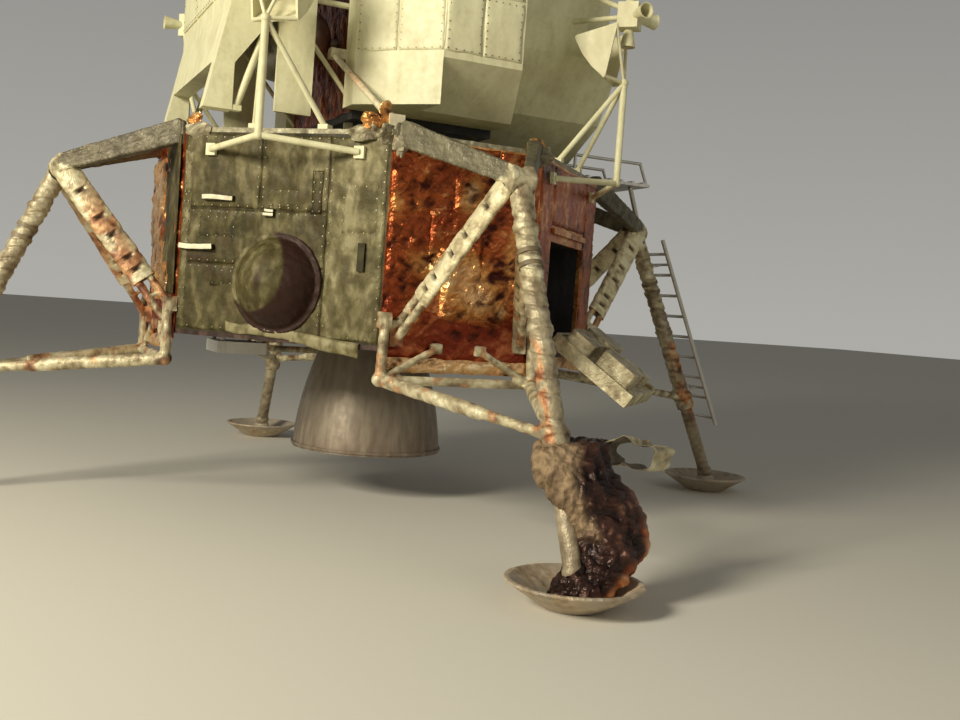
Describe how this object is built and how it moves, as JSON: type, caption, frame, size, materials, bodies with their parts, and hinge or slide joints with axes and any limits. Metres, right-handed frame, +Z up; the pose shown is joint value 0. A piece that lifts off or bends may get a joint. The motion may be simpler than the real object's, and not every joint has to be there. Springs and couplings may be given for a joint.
{
  "type": "lunar module",
  "caption": "Two-stage crewed moon lander on four legs with dished footpads, foil-wrapped descent stage, ladder, and a faceted cabin with jets and antennas.",
  "frame": {"origin": "on the ground, under the middle of the craft", "axes": "+Z up through the docking tunnel, -Y towards the ladder and the hatch, -X starboard"},
  "size_m": [9.4198, 9.4198, 6.9723],
  "materials": {
    "olive_skin": "satin, dull olive-grey panels",
    "amber_foil": "crinkled amber foil blanket",
    "cream_skin": "matte cream-white panels",
    "dark_skin": "matte black panels",
    "silver_foil": "crinkled pale foil",
    "dark_foil": "crumpled dark brown foil",
    "bare_alloy": "satin machined alloy",
    "nozzle_metal": "heat-dark matte metal",
    "dish_white": "matte white",
    "cabin_paint": "matte grey-green",
    "window_glass": "clear, slightly smoked",
    "titanium": "satin titanium",
    "cask_coat": "matte dark coat"
  },
  "bodies": {
    "lander": {"aft_rack": "cream_skin", "ascent_engine_cover": "cabin_paint", "base_heat_shield": "dark_skin", "cabin_face": "cream_skin", "cabin_fittings": "cabin_paint", "cabin_shell": "cream_skin", "descent_core": "dark_skin", "docking_aids": "dark_skin", "docking_tunnel": "dark_skin", "end_walls": "amber_foil", "footpads": "silver_foil", "fuel_cask": "cask_coat", "gas_spheres": "titanium", "helium_tank_dome": "olive_skin", "inflight_antennas": "cream_skin", "interstage_fittings": "amber_foil", "jets_front_port": "cream_skin", "jets_front_starboard": "cream_skin", "jets_rear_port": "cream_skin", "jets_rear_starboard": "cream_skin", "ladder": "bare_alloy", "landing_radar": "dish_white", "leg_front": "silver_foil", "leg_port": "silver_foil", "leg_rear": "silver_foil", "leg_starboard": "silver_foil", "midsection": "dark_skin", "outrigger_front": "silver_foil", "outrigger_port": "silver_foil", "outrigger_rear": "silver_foil", "outrigger_starboard": "silver_foil", "plume_deflector_front_port": "cream_skin", "plume_deflector_front_starboard": "cream_skin", "plume_deflector_rear_port": "cream_skin", "plume_deflector_rear_starboard": "cream_skin", "porch": "bare_alloy", "quad_panel_front_port": "olive_skin", "quad_panel_front_starboard": "amber_foil", "quad_panel_rear_port": "olive_skin", "quad_panel_rear_starboard": "olive_skin", "radar_mount": "bare_alloy", "steer_boom": "bare_alloy", "strut_wrap": "dark_foil", "tank_cover_port": "cream_skin", "tank_cover_starboard": "cream_skin", "top_deck": "silver_foil", "window_panes": "window_glass"},
    "forward_hatch": {"forward_hatch": "cream_skin"},
    "overhead_hatch": {"overhead_hatch": "bare_alloy"},
    "radar_yoke": {"radar_yoke": "dish_white"},
    "radar_dish": {"radar_dish": "dish_white"},
    "steer_yoke": {"steer_yoke": "dish_white"},
    "steer_dish": {"steer_dish": "dish_white"},
    "gimbal_ring": {"gimbal_ring": "titanium"},
    "engine": {"descent_engine": "titanium", "descent_nozzle": "nozzle_metal"},
    "equipment_pallet": {"equipment_pallet": "silver_foil"}
  },
  "joints": [
    {"name": "forward_hatch_hinge", "type": "hinge", "parent": "lander", "child": "forward_hatch", "pos_m": [-0.43, -1.823, 4.11988], "axis": [0, 0, 1], "range_deg": [0, 85]},
    {"name": "overhead_hatch_hinge", "type": "hinge", "parent": "lander", "child": "overhead_hatch", "pos_m": [0, 0.47, 5.7774], "axis": [1, 0, 0], "range_deg": [0, 85]},
    {"name": "radar_shaft", "type": "hinge", "parent": "lander", "child": "radar_yoke", "pos_m": [0, -1.93, 6.6675], "axis": [1, 0, 0], "range_deg": [-70, 59]},
    {"name": "radar_trunnion", "type": "hinge", "parent": "radar_yoke", "child": "radar_dish", "pos_m": [0, -2.145, 6.6675], "axis": [0, 0, 1], "range_deg": [-55, 55]},
    {"name": "steer_azimuth", "type": "hinge", "parent": "lander", "child": "steer_yoke", "pos_m": [-1.35, -0.33, 6.1722], "axis": [0, 0, 1], "range_deg": [-174, 82]},
    {"name": "steer_elevation", "type": "hinge", "parent": "steer_yoke", "child": "steer_dish", "pos_m": [-1.35, -0.63, 6.1722], "axis": [0, 1, 0], "range_deg": [-75, 255]},
    {"name": "engine_roll_gimbal", "type": "hinge", "parent": "lander", "child": "gimbal_ring", "pos_m": [0, 0, 2.159], "axis": [1, 0, 0], "range_deg": [-6, 6]},
    {"name": "engine_pitch_gimbal", "type": "hinge", "parent": "gimbal_ring", "child": "engine", "pos_m": [0, 0, 2.159], "axis": [0, 1, 0], "range_deg": [-6, 6]},
    {"name": "pallet_hinge", "type": "hinge", "parent": "lander", "child": "equipment_pallet", "pos_m": [-1.38704, -1.38704, 1.64], "axis": [-0.7071, 0.7071, 0], "range_deg": [0, 125]}
  ]
}
